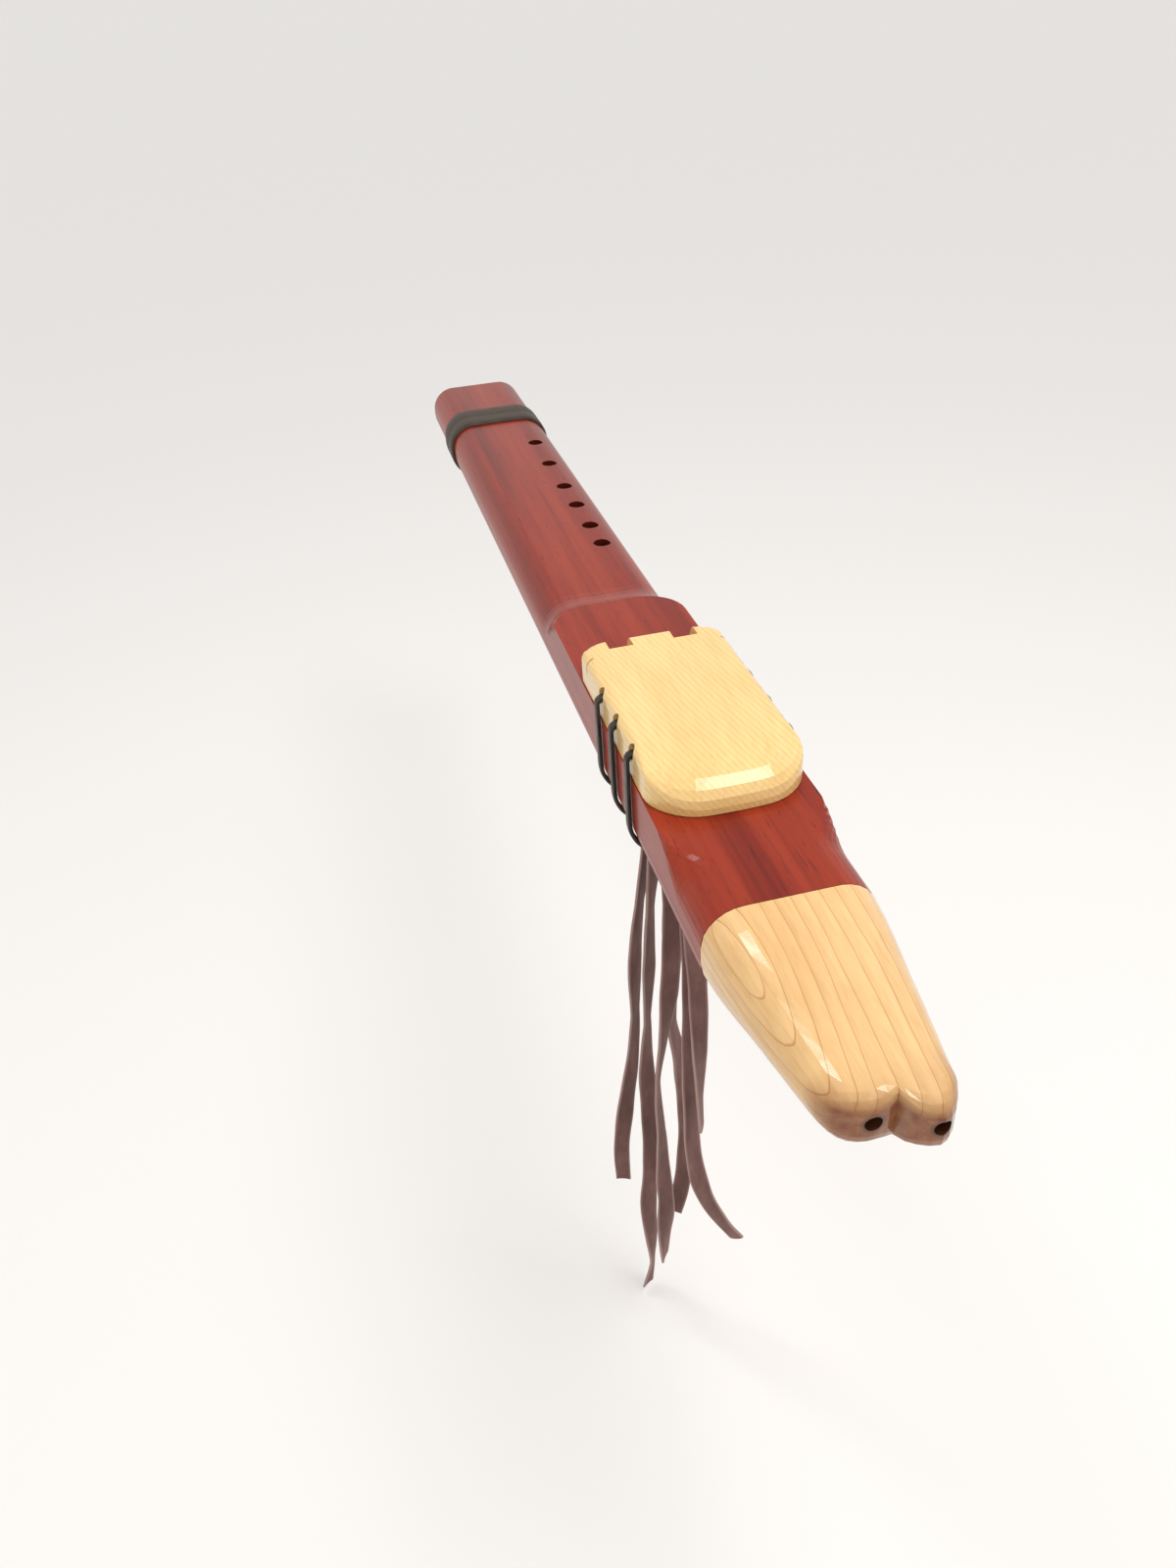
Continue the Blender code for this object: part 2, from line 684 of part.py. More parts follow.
# Middle line of each hanging end, in metres from the underside of its knot, with the direction
# of the strip's width at each point in degrees from +X
THONG_ROUTES = {
    "1a": [(-0.0010, 0.0011, 0.000, 0), (-0.0030, 0.0020, -0.028, 30), (-0.0075, 0.0030, -0.060, 45),
           (-0.0105, 0.0040, -0.095, 30), (-0.0120, 0.0045, -0.130, 50), (-0.0145, 0.0050, -0.165, 25),
           (-0.0190, 0.0055, -0.200, 5), (-0.0225, 0.0055, -0.230, -10), (-0.0225, 0.0055, -0.256, -20)],
    "1b": [(0.0010, -0.0011, 0.000, 0), (-0.0010, -0.0025, -0.028, 25), (-0.0040, -0.0030, -0.060, 50),
           (-0.0060, -0.0030, -0.095, 35), (-0.0080, -0.0030, -0.130, 55), (-0.0090, -0.0030, -0.165, 15),
           (-0.0085, -0.0030, -0.200, -15), (-0.0095, -0.0030, -0.240, 5), (-0.0115, -0.0035, -0.275, -10),
           (-0.0105, -0.0040, -0.300, 30), (-0.0110, -0.0050, -0.320, 60), (-0.0150, -0.0065, -0.340, 35)],
    "2a": [(-0.0010, -0.0011, 0.000, 0), (0.0000, -0.0015, -0.030, -10), (-0.0005, -0.0020, -0.065, -15),
           (-0.0025, -0.0020, -0.095, 5), (-0.0055, -0.0020, -0.125, 45), (-0.0090, -0.0015, -0.155, 62),
           (-0.0085, -0.0015, -0.190, 50), (-0.0075, -0.0010, -0.225, 10), (-0.0065, -0.0010, -0.250, -15),
           (-0.0080, -0.0010, -0.275, 25), (-0.0085, -0.0010, -0.295, 55)],
    "2b": [(0.0010, 0.0011, 0.000, 0), (0.0015, 0.0025, -0.030, -5), (0.0015, 0.0040, -0.065, -10),
           (0.0010, 0.0055, -0.095, 10), (0.0015, 0.0065, -0.125, 50), (0.0050, 0.0075, -0.150, 30),
           (0.0075, 0.0080, -0.180, -10), (0.0075, 0.0080, -0.215, -20), (0.0050, 0.0075, -0.245, -15),
           (0.0000, 0.0070, -0.268, -25)],
    "3a": [(-0.0010, -0.0011, 0.000, 0), (0.0015, -0.0020, -0.030, -10), (0.0035, -0.0025, -0.060, -15),
           (0.0045, -0.0025, -0.095, -5), (0.0045, -0.0025, -0.120, 35), (0.0045, -0.0025, -0.145, 58),
           (0.0055, -0.0025, -0.163, 64)],
    "3b": [(0.0010, 0.0011, 0.000, 0), (0.0025, 0.0030, -0.030, -10), (0.0035, 0.0050, -0.065, -25),
           (0.0035, 0.0060, -0.105, -10), (0.0030, 0.0060, -0.150, 20), (0.0040, 0.0055, -0.195, 5),
           (0.0090, 0.0050, -0.225, -20), (0.0185, 0.0045, -0.252, -30), (0.0265, 0.0040, -0.268, -30)],
}


def make_thong(name, station, finish, parent):
    """A flat strip swept down its route, with its long edges slightly rounded."""
    route = THONG_ROUTES[name]
    rows = max(len(route) * 3, 20)
    points, length = smooth_route([point[:3] for point in route], rows)
    heights = [-point[2] for point in route]
    turns = [point[3] for point in route]
    half = THONG_WIDTH / 2
    thick = THONG_THICKNESS / 2
    edge = thick * 0.5
    outline = [(-half, -edge), (-half + edge, -thick), (half - edge, -thick), (half, -edge),
               (half, edge), (half - edge, thick), (-half + edge, thick), (-half, edge)]
    sections = []
    for index, point in enumerate(points):
        along = points[min(index + 1, rows - 1)] - points[max(index - 1, 0)]
        along /= np.linalg.norm(along)
        angle = math.radians(float(np.interp(-point[2], heights, turns)))
        across = np.array([math.cos(angle), math.sin(angle), 0.0])
        across -= along * across.dot(along)
        across /= np.linalg.norm(across)
        outward = np.cross(along, across)
        sections.append([tuple(point + across * u + outward * v) for u, v in outline])
    shape, faces = loft(sections)
    top = -FACE_GAP - KNOT_DEPTH - FACE_GAP
    mesh = mesh_from(f"thong_{name}", shape, faces)
    made = add_object(f"thong_{name}", mesh, finish, (KNOT_X, station, top), parent)
    print(f"thong_{name}: {length * 1000:.0f} mm long")
    return made


def body_rim(off):
    """Outline round the barrel at one distance outside it, from the middle of the underside."""
    corner = HALF_WIDTH - BODY_CORNER
    radius = BODY_CORNER + off
    high = BARREL_HEIGHT - BODY_CORNER
    line = [(0.0, -off)]
    line += arc((-corner, BODY_CORNER), radius, 270, 180, 6)
    line += arc((-corner, high), radius, 180, 90, 6)
    line += arc((corner, high), radius, 90, 0, 6)
    line += arc((corner, BODY_CORNER), radius, 0, -90, 6)
    line.append((0.0, -off))
    return line


def make_foot_band(finish):
    """One flat leather strap once round the foot, its ends meeting under the body."""
    middle = body_rim(FACE_GAP + BAND_THICKNESS / 2)
    middle[0] = (-BAND_JOINT_GAP / 2, middle[0][1])
    middle[-1] = (BAND_JOINT_GAP / 2, middle[-1][1])
    outline = strap_outline(middle, BAND_THICKNESS)
    points, faces = prism(outline, 1, BAND_STATION - BAND_WIDTH / 2, BAND_STATION + BAND_WIDTH / 2)
    return add_object("foot_band", mesh_from("foot_band", points, faces), finish)


def build():
    clear_scene()
    red_wood = material("red_wood", (0.352, 0.058, 0.030), 0.32)
    maple = material("maple", (0.830, 0.560, 0.270), 0.28)
    lace_leather = material("lace_leather", (0.045, 0.032, 0.022), 0.45)
    suede = material("suede", (0.180, 0.088, 0.078), 0.95)
    band_leather = material("band_leather", (0.070, 0.048, 0.032), 0.60)
    make_body_top(red_wood)
    make_body_bottom(red_wood.copy())
    make_mouthpiece(maple)
    make_foot_band(band_leather)
    slide = bpy.data.objects.new("block_slide", None)
    bpy.context.scene.collection.objects.link(slide)
    make_block(maple.copy(), slide)
    for number, station in enumerate(LACE_STATIONS, start=1):
        make_lace(number, station, lace_leather.copy(), slide)
        make_knot(number, station, lace_leather.copy(), slide)
        for end in "ab":
            make_thong(f"{number}{end}", station, suede.copy(), slide)


build()
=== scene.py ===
"""Looks for the double flute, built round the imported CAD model. Metres, +Z up, mouth end at -Y."""
import math

import bmesh
import bpy
import numpy as np
from mathutils import Matrix, Vector


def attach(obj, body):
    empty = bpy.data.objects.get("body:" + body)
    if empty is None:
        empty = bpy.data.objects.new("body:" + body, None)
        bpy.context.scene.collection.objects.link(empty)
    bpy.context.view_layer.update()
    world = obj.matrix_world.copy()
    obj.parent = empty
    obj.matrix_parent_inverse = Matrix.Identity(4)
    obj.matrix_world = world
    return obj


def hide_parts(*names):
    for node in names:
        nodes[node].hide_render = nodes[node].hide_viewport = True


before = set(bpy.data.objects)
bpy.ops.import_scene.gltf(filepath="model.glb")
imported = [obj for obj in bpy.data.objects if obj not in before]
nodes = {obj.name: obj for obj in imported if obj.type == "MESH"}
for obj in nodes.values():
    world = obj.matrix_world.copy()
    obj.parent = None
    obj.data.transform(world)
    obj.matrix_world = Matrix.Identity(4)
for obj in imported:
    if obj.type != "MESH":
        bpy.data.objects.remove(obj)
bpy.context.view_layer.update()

# Sizes repeated from the part's source
HALF_WIDTH = 0.031
BODY_CORNER = 0.0145
BARREL_HEIGHT = 0.032
NEST_HEIGHT = 0.0355
SEAM_HEIGHT = 0.016
FACE_GAP = 0.0003
FINGER_HOLE_X = 0.0155
FINGER_HOLE_STATIONS = (0.148, 0.173, 0.204, 0.234, 0.274, 0.314)
BLOW_HOLE_HEIGHT = 0.0195
LACE_GAP = 0.0004
LACE_WIDTH = 0.0040
LACE_THICKNESS = 0.0018
LACE_BEND = 0.0025
LACE_STATIONS = (-0.027, -0.048, -0.070)
TUNNEL_WIDTH = 0.0058
TUNNEL_FLOOR = 0.0080
KNOT_X = -0.010
KNOT_LENGTH = 0.011
KNOT_DEPTH = 0.0065
THONG_WIDTH = 0.0085
THONG_THICKNESS = 0.0014
BAND_STATION = 0.376
BAND_WIDTH = 0.030
BAND_THICKNESS = 0.0015
BAND_JOINT_GAP = 0.0006

# Middles of the painted shade at the two blow holes, across the mouthpiece
BLOW_HOLE_X = (-0.0075, 0.0100)

# Camera as fitted to the photograph: angles in degrees, lens in mm for a long side of the sensor's size
CAMERA_PLACE = (-0.1233, -0.4283, 0.2925)
CAMERA_YAW = 11.973
CAMERA_PITCH = 34.980
CAMERA_ROLL = -4.005
CAMERA_LENS = 27.69
CAMERA_SENSOR = 36

# Fineness of the meshes
CURVE_STEPS = 40
THONG_ROWS = 90
STRIP_COLUMNS = 9
KNOT_STEPS = 72
STRAND_STEPS = 12
TANGENT_STEP = 0.01
BAND_CORNER_STEPS = 12

# Wavering of a hanging end: depth and radians per metre of each wave, and where each end starts
WIDTH_WAVES = ((0.05, 70), (0.03, 190))
CUP_DEPTH = 0.0006
CUP_WAVE = 55
CUP_PHASE = 1.7
LACE_PHASE = 2.1
SECOND_END_PHASE = 0.9

# Side drift of a lace, in metres and in radians per step of its route, and the step beside its knot
LACE_DRIFT = 0.00025
LACE_DRIFT_WAVE = 0.55
LACE_END_STEP = 0.001

# Loop of a knot across, along and down, and half sizes of its strand
KNOT_LOOP = (0.00125, 0.00105, 0.00125)
STRAND_HALF_WIDTH = 0.0016
STRAND_HALF_DEPTH = 0.0012

# Glue line between the halves, just clear of the faces round it
GLUE_INNER_X = 0.0264
GLUE_ENDS = (-0.1511, 0.4519)
GLUE_CLEARANCE = 0.00001
GLUE_INSET = 0.00003

FLOOR_LEVEL = -0.3525
FLOOR_HALF_SIZE = 60


# Camera

def make_camera():
    yaw, pitch, roll = (math.radians(a) for a in (CAMERA_YAW, CAMERA_PITCH, CAMERA_ROLL))
    ahead = np.array([math.sin(yaw) * math.cos(pitch), math.cos(yaw) * math.cos(pitch), -math.sin(pitch)])
    side = np.array([math.cos(yaw), -math.sin(yaw), 0.0])
    up = np.cross(side, ahead)
    right = math.cos(roll) * side + math.sin(roll) * up
    above = -math.sin(roll) * side + math.cos(roll) * up
    pose = np.eye(4)
    pose[:3, 0] = right
    pose[:3, 1] = above
    pose[:3, 2] = -ahead
    pose[:3, 3] = CAMERA_PLACE
    data = bpy.data.cameras.new("camera")
    data.sensor_width = CAMERA_SENSOR
    data.lens = CAMERA_LENS
    data.clip_start = 0.01
    camera = bpy.data.objects.new("camera", data)
    bpy.context.scene.collection.objects.link(camera)
    camera.matrix_world = Matrix(pose.tolist())
    bpy.context.scene.camera = camera


make_camera()


# Mesh helpers

def add_mesh(name, points, faces, smooth_angle=40):
    mesh = bpy.data.meshes.new(name)
    mesh.from_pydata([tuple(p) for p in points], [], faces)
    shape = bmesh.new()
    shape.from_mesh(mesh)
    bmesh.ops.recalc_face_normals(shape, faces=shape.faces)
    shape.to_mesh(mesh)
    shape.free()
    mesh.shade_smooth()
    mesh.set_sharp_from_angle(angle=math.radians(smooth_angle))
    made = bpy.data.objects.new(name, mesh)
    bpy.context.scene.collection.objects.link(made)
    return made


def loft(rings, closed=False):
    """Skin through rings of points, with flat ends, or joined from last to first when closed."""
    count = len(rings[0])
    total = len(rings)
    points = [p for ring in rings for p in ring]
    faces = []
    if not closed:
        faces = [list(range(count)), list(range(total * count - 1, (total - 1) * count - 1, -1))]
    for row in range(total if closed else total - 1):
        after_row = (row + 1) % total
        for index in range(count):
            after = (index + 1) % count
            faces.append([row * count + index, after_row * count + index,
                          after_row * count + after, row * count + after])
    return points, faces


def arc(centre, radius, start, end, steps):
    angles = [math.radians(start + (end - start) * i / steps) for i in range(steps + 1)]
    return [(centre[0] + radius * math.cos(a), centre[1] + radius * math.sin(a)) for a in angles]


def smooth_route(route, count):
    """Points at even steps on a smooth curve through the route's own points, and its length."""
    route_points = np.array(route, dtype=float)
    chord = np.linalg.norm(np.diff(route_points, axis=0), axis=1) ** 0.5
    knots = np.concatenate([[0.0], np.cumsum(chord)])
    slopes = np.gradient(route_points, knots, axis=0)
    fine = []
    for index in range(len(route_points) - 1):
        width = knots[index + 1] - knots[index]
        for step in range(CURVE_STEPS):
            t = step / CURVE_STEPS
            fine.append((2 * t ** 3 - 3 * t ** 2 + 1) * route_points[index]
                        + (t ** 3 - 2 * t ** 2 + t) * width * slopes[index]
                        + (-2 * t ** 3 + 3 * t ** 2) * route_points[index + 1]
                        + (t ** 3 - t ** 2) * width * slopes[index + 1])
    fine.append(route_points[-1])
    fine = np.array(fine)
    steps = np.linalg.norm(np.diff(fine, axis=0), axis=1)
    along = np.concatenate([[0.0], np.cumsum(steps)])
    wanted = np.linspace(0.0, along[-1], count)
    points = np.stack([np.interp(wanted, along, fine[:, axis]) for axis in range(3)], axis=1)
    return points, along[-1]


# Shader helpers

def new_material(name):
    made = bpy.data.materials.new(name)
    made.use_nodes = True
    tree = made.node_tree
    shader = tree.nodes["Principled BSDF"]
    return made, tree, shader


def node(tree, kind, **values):
    """A new shader node, with each value set on its attribute or else its socket of that name."""
    made = tree.nodes.new(kind)
    for key, value in values.items():
        if hasattr(made, key):
            setattr(made, key, value)
        else:
            made.inputs[key.replace("_", " ")].default_value = value
    return made


def feed(tree, socket, value):
    """Set a socket to a number or a colour, or link it to another node's output."""
    if isinstance(value, (float, int)):
        socket.default_value = value
    elif isinstance(value, tuple):
        socket.default_value = (*value, 1.0)
    else:
        tree.links.new(value, socket)


def coordinates(tree, scale=(1, 1, 1), turn=(0, 0, 0), shift=(0, 0, 0)):
    source = tree.nodes.new("ShaderNodeTexCoord")
    mapping = tree.nodes.new("ShaderNodeMapping")
    mapping.inputs["Location"].default_value = shift
    mapping.inputs["Rotation"].default_value = tuple(math.radians(a) for a in turn)
    mapping.inputs["Scale"].default_value = scale
    tree.links.new(source.outputs["Object"], mapping.inputs["Vector"])
    return mapping.outputs["Vector"]


def noise(tree, vector, detail, roughness, scale=1.0, distortion=0.0):
    made = node(tree, "ShaderNodeTexNoise", Scale=scale, Detail=detail, Roughness=roughness,
                Distortion=distortion)
    tree.links.new(vector, made.inputs["Vector"])
    return made.outputs["Fac"]


def ramp(tree, fac, stops):
    made = tree.nodes.new("ShaderNodeValToRGB")
    band = made.color_ramp
    while len(band.elements) < len(stops):
        band.elements.new(0.5)
    for element, (place, colour) in zip(band.elements, stops):
        element.position = place
        element.color = (*colour, 1.0)
    tree.links.new(fac, made.inputs["Fac"])
    return made.outputs["Color"]


def mix(tree, fac, first, second, blend="MIX"):
    made = tree.nodes.new("ShaderNodeMix")
    made.data_type = "RGBA"
    made.blend_type = blend
    for value, socket in ((fac, made.inputs[0]), (first, made.inputs[6]), (second, made.inputs[7])):
        feed(tree, socket, value)
    return made.outputs[2]


def spread(tree, fac, low, high, out_low=0.0, out_high=1.0):
    made = tree.nodes.new("ShaderNodeMapRange")
    for socket, value in zip(("From Min", "From Max", "To Min", "To Max"), (low, high, out_low, out_high)):
        made.inputs[socket].default_value = value
    tree.links.new(fac, made.inputs["Value"])
    return made.outputs["Result"]


def calculate(tree, operation, first, second):
    made = node(tree, "ShaderNodeMath", operation=operation)
    feed(tree, made.inputs[0], first)
    feed(tree, made.inputs[1], second)
    return made.outputs[0]


def bump(tree, shader, height, strength, distance):
    made = node(tree, "ShaderNodeBump", Strength=strength, Distance=distance)
    tree.links.new(height, made.inputs["Height"])
    tree.links.new(made.outputs["Normal"], shader.inputs["Normal"])


def lacquer(shader, roughness, specular, coat, coat_roughness):
    shader.inputs["Roughness"].default_value = roughness
    shader.inputs["Specular IOR Level"].default_value = specular
    shader.inputs["Coat Weight"].default_value = coat
    shader.inputs["Coat Roughness"].default_value = coat_roughness


def paint_hole_shade(tree, colour, flatten, middles, outer, inner, dark):
    """Painted shade in the holes and at their rims; the holes run along the axis that is flattened."""
    for middle in middles:
        reach = node(tree, "ShaderNodeVectorMath", operation="DISTANCE")
        tree.links.new(coordinates(tree, flatten), reach.inputs[0])
        reach.inputs[1].default_value = middle
        colour = mix(tree, spread(tree, reach.outputs["Value"], outer, inner), colour, dark)
    return colour


# Materials

def red_wood():
    """Stained red wood: broad lengthwise stripes, fine dark pores and a gloss lacquer."""
    made, tree, shader = new_material("red_wood_lacquered")
    broad = noise(tree, coordinates(tree, (52, 1.6, 30)), detail=3, roughness=0.5, distortion=0.6)
    fine = noise(tree, coordinates(tree, (420, 9, 420)), detail=4, roughness=0.6, distortion=0.2)
    colour = ramp(tree, broad, [(0.30, (0.170, 0.012, 0.005)), (0.46, (0.255, 0.022, 0.008)),
                                (0.60, (0.315, 0.033, 0.011)), (0.74, (0.215, 0.017, 0.007))])
    streak = ramp(tree, fine, [(0.30, (0.66, 0.58, 0.56)), (0.50, (1, 1, 1))])
    colour = mix(tree, 0.60, colour, streak, "MULTIPLY")
    pores = noise(tree, coordinates(tree, (1500, 75, 1500)), detail=2, roughness=0.5)
    pore_depth = spread(tree, pores, 0.62, 0.70)
    colour = mix(tree, spread(tree, pores, 0.62, 0.70, 0.0, 0.65), colour, (0.050, 0.010, 0.010))
    # Painted shade inside the finger holes and at their rims
    holes = [(FINGER_HOLE_X, station, 0) for station in FINGER_HOLE_STATIONS]
    colour = paint_hole_shade(tree, colour, (1, 1, 0), holes, outer=0.0049, inner=0.0043,
                          dark=(0.030, 0.006, 0.004))
    tree.links.new(colour, shader.inputs["Base Color"])
    lacquer(shader, roughness=0.34, specular=0.12, coat=0.22, coat_roughness=0.10)
    bump(tree, shader, calculate(tree, "SUBTRACT", 1.0, pore_depth), strength=0.25, distance=0.0002)
    return made


def silky(tree, turn, deep, pale, line):
    """Maple's own colour under the growth lines, cloudy and with short flecks along the grain."""
    cloud = noise(tree, coordinates(tree, (60, 14, 60), turn), detail=3, roughness=0.5)
    base = ramp(tree, cloud, [(0.32, deep), (0.68, pale)])
    colour = mix(tree, 1.0, base, line, "MULTIPLY")
    fleck = noise(tree, coordinates(tree, (700, 45, 700), turn), detail=3, roughness=0.6)
    fleck_colour = ramp(tree, fleck, [(0.30, (0.84, 0.78, 0.70)), (0.56, (1, 1, 1))])
    return mix(tree, 0.55, colour, fleck_colour, "MULTIPLY")


def finish_maple(tree, shader, colour):
    tree.links.new(colour, shader.inputs["Base Color"])
    lacquer(shader, roughness=0.36, specular=0.10, coat=0.85, coat_roughness=0.13)
    grain = noise(tree, coordinates(tree, (300, 20, 300)), detail=2, roughness=0.5)
    bump(tree, shader, grain, strength=0.05, distance=0.0002)


def block_maple():
    """Quarter-sawn maple: fine straight growth lines that run askew to the block."""
    made, tree, shader = new_material("maple_block")
    turn = (0, 38, -9)
    stripes = node(tree, "ShaderNodeTexWave", wave_type="BANDS", bands_direction="X", wave_profile="SAW",
                   Scale=165, Distortion=4.0, Detail=1.5, Detail_Scale=0.13, Detail_Roughness=0.5)
    tree.links.new(coordinates(tree, turn=turn), stripes.inputs["Vector"])
    line = ramp(tree, stripes.outputs["Fac"], [(0.0, (1, 1, 1)), (0.45, (1, 1, 1)),
                                               (0.85, (0.95, 0.88, 0.76)), (1.0, (0.97, 0.94, 0.88))])
    finish_maple(tree, shader, silky(tree, turn, (0.800, 0.545, 0.215), (0.860, 0.610, 0.265), line))
    return made


def mouth_maple():
    """Flat-sawn maple: nested growth lines drawn out along the grain, a mottled darker brown towards the
    lower front of the lips, and painted shade in the blow holes.
    """
    made, tree, shader = new_material("maple_mouthpiece")
    turn = (0, 0, 3)
    place = coordinates(tree, turn=turn, shift=(0.016, 0.172, -0.030))
    rings = node(tree, "ShaderNodeTexWave", wave_type="RINGS", rings_direction="SPHERICAL",
                 wave_profile="SAW", Scale=62, Distortion=2.6, Detail=2.0, Detail_Scale=0.9,
                 Detail_Roughness=0.55)
    stretch = tree.nodes.new("ShaderNodeMapping")
    stretch.inputs["Scale"].default_value = (1, 0.20, 1.5)
    tree.links.new(place, stretch.inputs["Vector"])
    tree.links.new(stretch.outputs["Vector"], rings.inputs["Vector"])
    line = ramp(tree, rings.outputs["Fac"], [(0.0, (0.93, 0.90, 0.86)), (0.70, (1, 1, 1)),
                                             (0.93, (1.0, 0.99, 0.97)), (0.99, (0.62, 0.46, 0.32))])
    colour = silky(tree, turn, (0.740, 0.455, 0.190), (0.800, 0.520, 0.240), line)
    # A mottled darker brown towards the lower front of the lips
    split = tree.nodes.new("ShaderNodeSeparateXYZ")
    tree.links.new(coordinates(tree), split.inputs[0])
    tip = spread(tree, split.outputs["Y"], -0.215, -0.227)
    low = spread(tree, split.outputs["Z"], 0.0300, 0.0235)
    mottled = noise(tree, coordinates(tree, (220, 220, 220)), detail=4, roughness=0.6)
    share = calculate(tree, "MULTIPLY", tip, low)
    share = calculate(tree, "MULTIPLY", share, spread(tree, mottled, 0.25, 0.7, 0.75, 1.0))
    colour = mix(tree, share, colour, (0.200, 0.042, 0.006))
    # Painted shade inside the two blow holes and at their rims
    holes = [(x, 0, BLOW_HOLE_HEIGHT) for x in BLOW_HOLE_X]
    colour = paint_hole_shade(tree, colour, (1, 0, 1), holes, outer=0.0042, inner=0.0024,
                          dark=(0.035, 0.010, 0.005))
    finish_maple(tree, shader, colour)
    return made


def smooth_leather(name, dark, light, roughness):
    made, tree, shader = new_material(name)
    place = coordinates(tree)
    patches = noise(tree, place, scale=160, detail=4, roughness=0.6)
    colour = ramp(tree, patches, [(0.30, dark), (0.70, light)])
    tree.links.new(colour, shader.inputs["Base Color"])
    uneven = spread(tree, patches, 0.3, 0.7, roughness - 0.08, roughness + 0.12)
    tree.links.new(uneven, shader.inputs["Roughness"])
    shader.inputs["Specular IOR Level"].default_value = 0.22
    cells = node(tree, "ShaderNodeTexVoronoi", Scale=1500)
    tree.links.new(place, cells.inputs["Vector"])
    bump(tree, shader, cells.outputs["Distance"], strength=0.35, distance=0.0003)
    return made


def suede():
    """Napped suede: soft patches, a short fibre grain and paler cut edges."""
    made, tree, shader = new_material("suede_strip")
    place = coordinates(tree)
    patches = noise(tree, coordinates(tree, (90, 90, 26)), detail=4, roughness=0.6)
    fibre = noise(tree, place, scale=2600, detail=3, roughness=0.7)
    colour = ramp(tree, patches, [(0.28, (0.085, 0.036, 0.030)), (0.50, (0.150, 0.068, 0.058)),
                                  (0.72, (0.235, 0.120, 0.103))])
    nap = ramp(tree, fibre, [(0.3, (0.55, 0.52, 0.52)), (0.65, (1.25, 1.2, 1.2))])
    colour = mix(tree, 0.6, colour, nap, "MULTIPLY")
    edge = tree.nodes.new("ShaderNodeVertexColor")
    edge.layer_name = "edge"
    colour = mix(tree, edge.outputs["Color"], colour, (0.400, 0.260, 0.230))
    tree.links.new(colour, shader.inputs["Base Color"])
    shader.inputs["Roughness"].default_value = 0.95
    shader.inputs["Sheen Weight"].default_value = 0.25
    shader.inputs["Sheen Roughness"].default_value = 0.5
    shader.inputs["Sheen Tint"].default_value = (0.75, 0.60, 0.56, 1)
    bump(tree, shader, fibre, strength=0.6, distance=0.0004)
    return made


RED = red_wood()
BLOCK_MAPLE = block_maple()
MOUTH_MAPLE = mouth_maple()
LACE = smooth_leather("lace_leather_smooth", (0.020, 0.014, 0.010), (0.052, 0.038, 0.028), 0.34)
BAND = smooth_leather("band_leather_smooth", (0.034, 0.022, 0.014), (0.066, 0.045, 0.029), 0.46)
SUEDE = suede()


def dress(node_name, finish):
    data = nodes[node_name].data
    data.materials.clear()
    data.materials.append(finish)


for wooden in ("body_top", "body_bottom"):
    dress(wooden, RED)
dress("block", BLOCK_MAPLE)
dress("mouthpiece", MOUTH_MAPLE)


# Hanging ends: the middle line of each in metres from just under its knot, with the direction
# of the strip's width at each point in degrees from +X

THONG_ROUTES = {
    "1a": [(-0.0010, 0.0011, 0.000, 0), (-0.0030, 0.0020, -0.028, 30), (-0.0075, 0.0030, -0.060, 45),
           (-0.0105, 0.0040, -0.095, 30), (-0.0120, 0.0045, -0.130, 50), (-0.0145, 0.0050, -0.165, 25),
           (-0.0190, 0.0055, -0.200, 5), (-0.0225, 0.0055, -0.230, -10), (-0.0225, 0.0055, -0.256, -20)],
    "1b": [(0.0010, -0.0011, 0.000, 0), (-0.0010, -0.0025, -0.028, 25), (-0.0040, -0.0030, -0.060, 50),
           (-0.0060, -0.0030, -0.095, 35), (-0.0080, -0.0030, -0.130, 55), (-0.0090, -0.0030, -0.165, 15),
           (-0.0085, -0.0030, -0.200, -15), (-0.0095, -0.0030, -0.240, 5), (-0.0115, -0.0035, -0.275, -10),
           (-0.0105, -0.0040, -0.300, 30), (-0.0110, -0.0050, -0.320, 60), (-0.0150, -0.0065, -0.340, 35)],
    "2a": [(-0.0010, -0.0011, 0.000, 0), (0.0000, -0.0015, -0.030, -10), (-0.0005, -0.0020, -0.065, -15),
           (-0.0025, -0.0020, -0.095, 5), (-0.0055, -0.0020, -0.125, 45), (-0.0090, -0.0015, -0.155, 62),
           (-0.0085, -0.0015, -0.190, 50), (-0.0075, -0.0010, -0.225, 10), (-0.0065, -0.0010, -0.250, -15),
           (-0.0080, -0.0010, -0.275, 25), (-0.0085, -0.0010, -0.295, 55)],
    "2b": [(0.0010, 0.0011, 0.000, 0), (0.0015, 0.0025, -0.030, -5), (0.0015, 0.0040, -0.065, -10),
           (0.0010, 0.0055, -0.095, 10), (0.0015, 0.0065, -0.125, 50), (0.0050, 0.0075, -0.150, 30),
           (0.0075, 0.0080, -0.180, -10), (0.0075, 0.0080, -0.215, -20), (0.0050, 0.0075, -0.245, -15),
           (0.0000, 0.0070, -0.268, -25)],
    "3a": [(-0.0010, -0.0011, 0.000, 0), (0.0015, -0.0020, -0.030, -10), (0.0035, -0.0025, -0.060, -15),
           (0.0045, -0.0025, -0.095, -5), (0.0045, -0.0025, -0.120, 35), (0.0045, -0.0025, -0.145, 58),
           (0.0055, -0.0025, -0.163, 64)],
    "3b": [(0.0010, 0.0011, 0.000, 0), (0.0025, 0.0030, -0.030, -10), (0.0035, 0.0050, -0.065, -25),
           (0.0035, 0.0060, -0.105, -10), (0.0030, 0.0060, -0.150, 20), (0.0040, 0.0055, -0.195, 5),
           (0.0090, 0.0050, -0.225, -20), (0.0185, 0.0045, -0.252, -30), (0.0265, 0.0040, -0.268, -30)],
}


